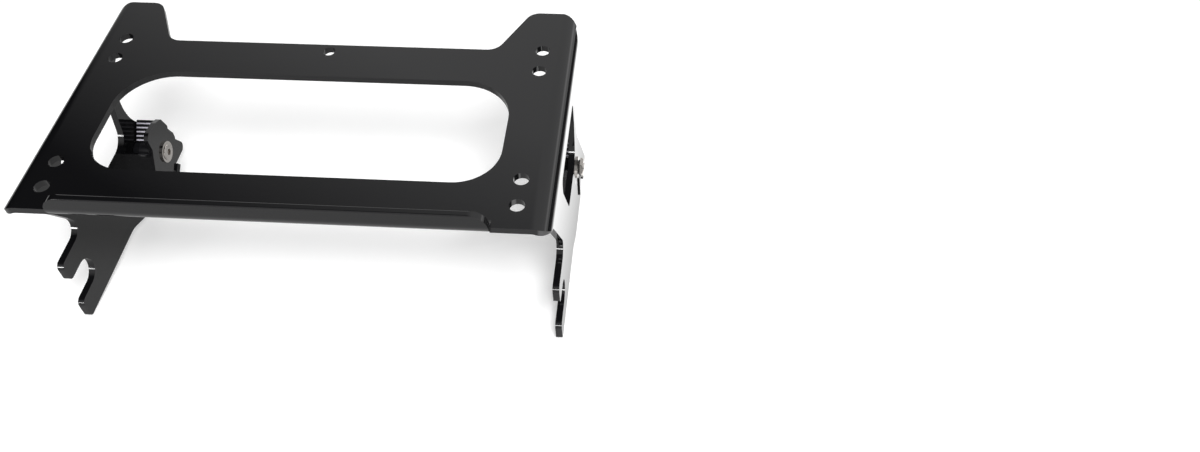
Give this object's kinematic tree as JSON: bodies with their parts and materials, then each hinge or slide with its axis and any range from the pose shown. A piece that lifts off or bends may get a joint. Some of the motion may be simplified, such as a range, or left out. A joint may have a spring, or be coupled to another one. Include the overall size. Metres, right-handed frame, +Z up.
{
  "type": "motorcycle top box mounting bracket",
  "caption": "Folded steel plate bracket with a large window, bolt holes for a luggage box, a raised front lip, notched side flanges and sprung rear latches.",
  "frame": {"origin": "middle of the outer rectangle of bolt holes, on the plate's top face", "axes": "+X to the right across the plate, +Y towards the end with the two ears, +Z up, square to the plate"},
  "size_m": [0.308, 0.1805, 0.1439],
  "materials": {
    "black_coat": "gloss black powder coat",
    "cast_black": "satin black on die casting",
    "hook_steel": "black plated steel",
    "zinc_steel": "zinc plated",
    "stainless": "bright stainless",
    "bearing_steel": "ground steel",
    "spring_wire": "black oxide spring wire"
  },
  "bodies": {
    "mount": {"mount_plate": "black_coat", "left_latch_bracket": "black_coat", "left_pivot_bolt": "stainless", "left_pivot_sleeve": "bearing_steel", "left_head_washer": "stainless", "left_outer_washer": "stainless", "left_lock_nut": "stainless", "left_stop_pin": "zinc_steel", "right_latch_bracket": "black_coat", "right_pivot_bolt": "stainless", "right_pivot_sleeve": "bearing_steel", "right_head_washer": "stainless", "right_outer_washer": "stainless", "right_lock_nut": "stainless", "right_stop_pin": "zinc_steel"},
    "left_latch": {"left_latch_lever": "cast_black", "left_latch_hook": "hook_steel", "left_hook_rivet": "zinc_steel", "left_torsion_spring": "spring_wire"},
    "right_latch": {"right_latch_lever": "cast_black", "right_latch_hook": "hook_steel", "right_hook_rivet": "zinc_steel", "right_torsion_spring": "spring_wire"}
  },
  "joints": [
    {"name": "left_latch_pivot", "type": "hinge", "parent": "mount", "child": "left_latch", "pos_m": [-0.136, 0.0418, -0.0794], "axis": [-1, 0, 0], "range_deg": [0, 25], "stiffness_Nm_per_rad": 0.2, "springref_deg": -28.65, "deforming": ["left_torsion_spring"]},
    {"name": "right_latch_pivot", "type": "hinge", "parent": "mount", "child": "right_latch", "pos_m": [0.136, 0.0418, -0.0794], "axis": [-1, 0, 0], "range_deg": [0, 25], "stiffness_Nm_per_rad": 0.2, "springref_deg": -28.65, "deforming": ["right_torsion_spring"]}
  ]
}
